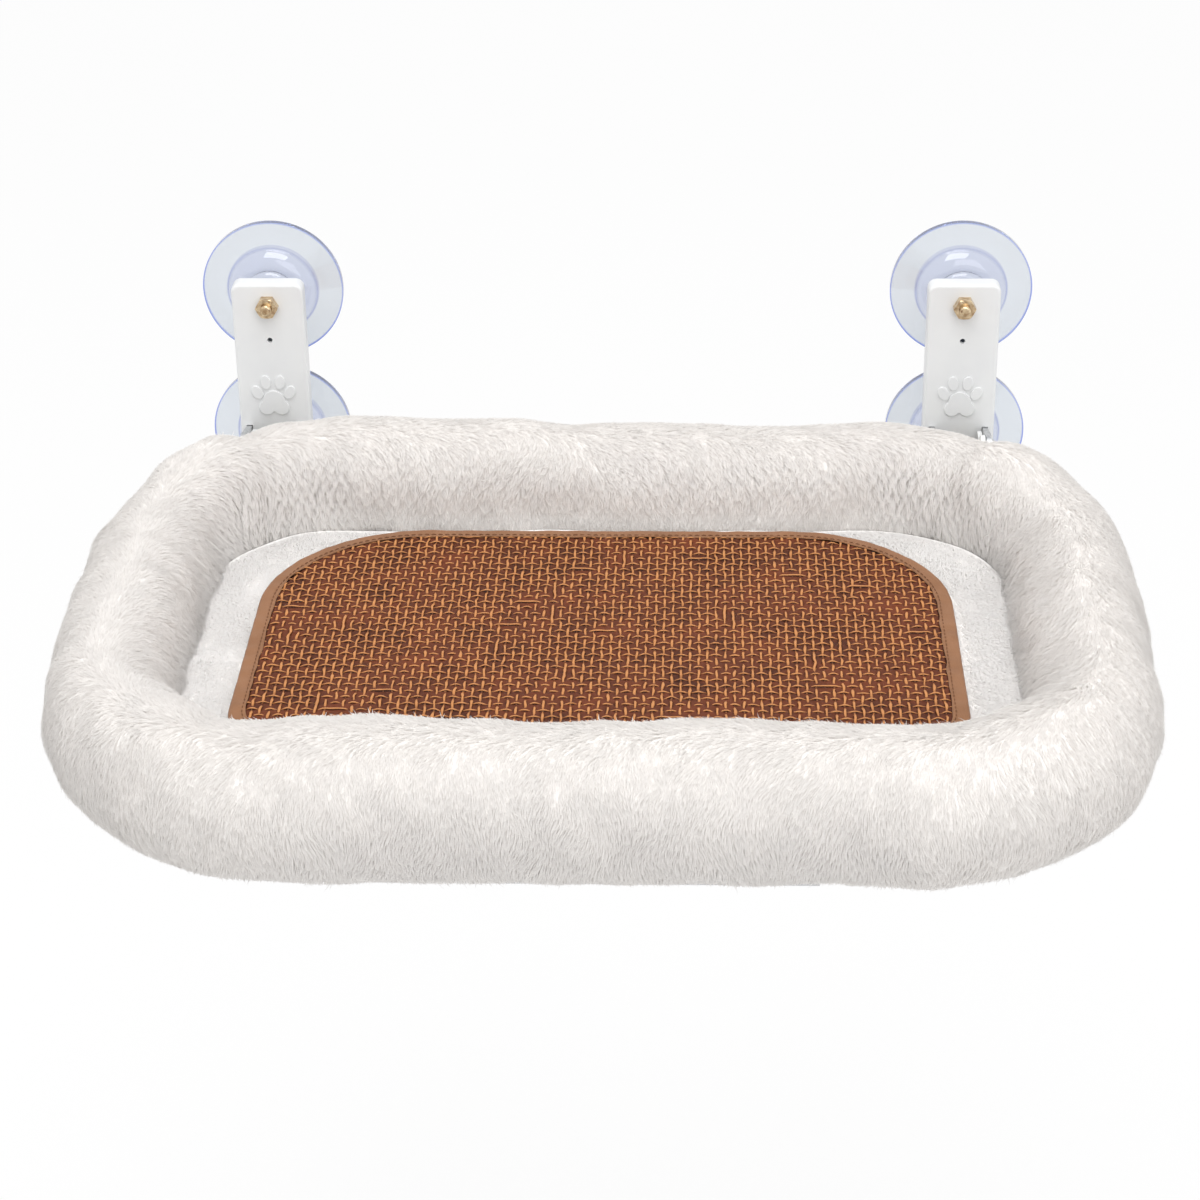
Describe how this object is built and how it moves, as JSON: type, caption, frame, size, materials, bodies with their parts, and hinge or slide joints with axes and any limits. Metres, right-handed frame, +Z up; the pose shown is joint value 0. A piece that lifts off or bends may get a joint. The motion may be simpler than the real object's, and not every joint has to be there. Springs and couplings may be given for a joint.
{
  "type": "window mounted cat perch",
  "caption": "Folding window perch for a cat: a plush bolster bed with a woven mat, hung from suction cups on two hinged brackets.",
  "frame": {"origin": "on the window glass, at the middle of the four suction cups", "axes": "+X to the right along the glass seen from the room, +Y out through the glass, +Z up"},
  "size_m": [0.547, 0.4523, 0.1991],
  "materials": {
    "clear_vinyl": "clear soft vinyl, faintly blue at the rim",
    "zinc_steel": "zinc plated",
    "brass_hardware": "brass plated",
    "white_plastic": "satin white moulding",
    "plated_steel": "zinc plated pressing",
    "white_coated_steel": "white powder coat",
    "grey_rubber": "matt",
    "grey_canvas": "plain woven",
    "white_elastic": "ribbed elastic",
    "polyester_fill": "loose fibre",
    "long_plush": "long white plush",
    "short_plush": "short white plush",
    "foam": "open cell foam",
    "brown_cloth": "plain woven",
    "brown_weave": "coarse two-tone weave",
    "brown_tape": "folded twill tape"
  },
  "bodies": {
    "window_hangers": {"bracket_cover_left": "white_plastic", "bracket_cover_right": "white_plastic", "bracket_insert_left": "plated_steel", "bracket_insert_right": "plated_steel", "cup_nut_lower_left": "brass_hardware", "cup_nut_lower_right": "brass_hardware", "cup_nut_upper_left": "brass_hardware", "cup_nut_upper_right": "brass_hardware", "cup_stud_lower_left": "brass_hardware", "cup_stud_lower_right": "brass_hardware", "cup_stud_upper_left": "brass_hardware", "cup_stud_upper_right": "brass_hardware", "hinge_pin_left": "zinc_steel", "hinge_pin_right": "zinc_steel", "insert_screws_left": "zinc_steel", "insert_screws_right": "zinc_steel", "pin_clip_left": "zinc_steel", "pin_clip_right": "zinc_steel", "suction_cup_lower_left": "clear_vinyl", "suction_cup_lower_right": "clear_vinyl", "suction_cup_upper_left": "clear_vinyl", "suction_cup_upper_right": "clear_vinyl"},
    "bed": {"arm_bolts_left": "zinc_steel", "arm_bolts_right": "zinc_steel", "arm_nuts_left": "zinc_steel", "arm_nuts_right": "zinc_steel", "bar_screws_front": "zinc_steel", "bar_screws_rear": "zinc_steel", "bed_tie_front_left": "white_elastic", "bed_tie_front_right": "white_elastic", "bed_tie_rear_left": "white_elastic", "bed_tie_rear_right": "white_elastic", "bolster_cover": "long_plush", "bolster_fill": "polyester_fill", "cross_bar_front": "white_coated_steel", "cross_bar_rear": "white_coated_steel", "deck_fabric": "grey_canvas", "deck_snaps": "zinc_steel", "frame_tube_front": "white_coated_steel", "frame_tube_rear": "white_coated_steel", "hinge_bush_left": "white_plastic", "hinge_bush_right": "white_plastic", "joiner_screws_left": "zinc_steel", "joiner_screws_right": "zinc_steel", "mat_backing": "brown_cloth", "mat_binding": "brown_tape", "mat_weave": "brown_weave", "pad_cover": "short_plush", "pad_foam": "foam", "stop_pad_left": "grey_rubber", "stop_pad_right": "grey_rubber", "support_arm_left": "white_coated_steel", "support_arm_right": "white_coated_steel", "tube_joiner_left": "plated_steel", "tube_joiner_right": "plated_steel"}
  },
  "joints": [
    {"name": "bed_fold", "type": "hinge", "parent": "window_hangers", "child": "bed", "pos_m": [0, -0.052, -0.031], "axis": [-1, 0, 0], "range_deg": [0, 72]}
  ]
}
